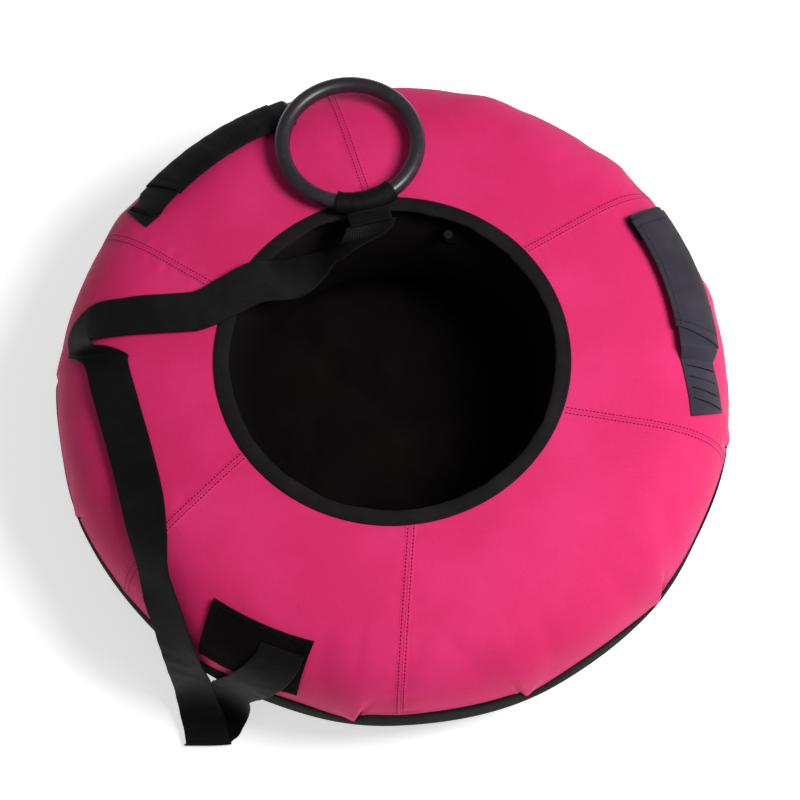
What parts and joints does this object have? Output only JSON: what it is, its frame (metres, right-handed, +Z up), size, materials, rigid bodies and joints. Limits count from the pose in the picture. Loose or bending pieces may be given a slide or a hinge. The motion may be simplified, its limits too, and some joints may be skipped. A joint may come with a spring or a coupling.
{
  "type": "towable tube",
  "caption": "Inflatable ride-on tube in a sewn fabric cover, with webbing handles, a flat tow strap and a round tow ring, for pulling a rider over snow or water.",
  "frame": {"origin": "on the floor under the middle of the tube", "axes": "+Z up along the tube's axis, +X towards the right handle, the tow patch at the front left (-X, -Y)"},
  "size_m": [0.8, 0.8042, 0.2383],
  "materials": {
    "rubber": "matte black tube rubber",
    "valve_metal": "turned",
    "cap_metal": "plated",
    "pink_fabric": "coated oxford weave",
    "black_fabric": "heavy coated oxford weave",
    "tape": "woven binding tape",
    "webbing": "flat woven webbing",
    "grip_fabric": "woven sleeve",
    "thread": "bonded thread",
    "ring_plastic": "moulded gloss"
  },
  "bodies": {
    "tube": {"inner_tube": "rubber", "valve_base": "rubber", "valve_stem": "valve_metal", "panel_right": "pink_fabric", "panel_back_right": "pink_fabric", "panel_left": "pink_fabric", "panel_front_left": "pink_fabric", "panel_tow": "pink_fabric", "panel_front_right": "pink_fabric", "bottom_cover": "black_fabric", "hole_binding": "tape", "tow_patch": "black_fabric", "handle_web_right": "webbing", "handle_web_left": "webbing", "handle_tacks_right": "thread", "handle_tacks_left": "thread", "tow_strap": "webbing", "strap_neck": "webbing", "neck_tacks": "thread"},
    "core": {"valve_core": "valve_metal"},
    "cap": {"valve_cap": "cap_metal"},
    "right_grip": {"grip_right": "grip_fabric"},
    "left_grip": {"grip_left": "grip_fabric"},
    "loop": {"strap_loop": "webbing"},
    "ring": {"tow_ring": "ring_plastic"}
  },
  "joints": [
    {"name": "ring_lift", "type": "hinge", "parent": "tube", "child": "loop", "pos_m": [-0.02878, 0.19208, 0.226], "axis": [0.9744, 0.225, 0], "range_deg": [0, 90]},
    {"name": "ring_spin", "type": "hinge", "parent": "loop", "child": "ring", "pos_m": [-0.047, 0.271, 0.226], "axis": [0, 0, 1], "continuous": true},
    {"name": "right_grip_shift", "type": "hinge", "parent": "tube", "child": "right_grip", "pos_m": [0, 0, 0.2], "axis": [0, 0, 1], "range_deg": [-1.5, 0]},
    {"name": "left_grip_shift", "type": "hinge", "parent": "tube", "child": "left_grip", "pos_m": [0, 0, 0.2], "axis": [0, 0, 1], "range_deg": [0, 2.2]},
    {"name": "valve_cap_off", "type": "slide", "parent": "tube", "child": "cap", "axis": [-0.2811, -0.6622, 0.6947], "range_m": [0, 0.012]},
    {"name": "valve_core_press", "type": "slide", "parent": "tube", "child": "core", "axis": [0.2811, 0.6622, -0.6947], "range_m": [0, 0.0012], "stiffness_N_per_m": 400}
  ]
}
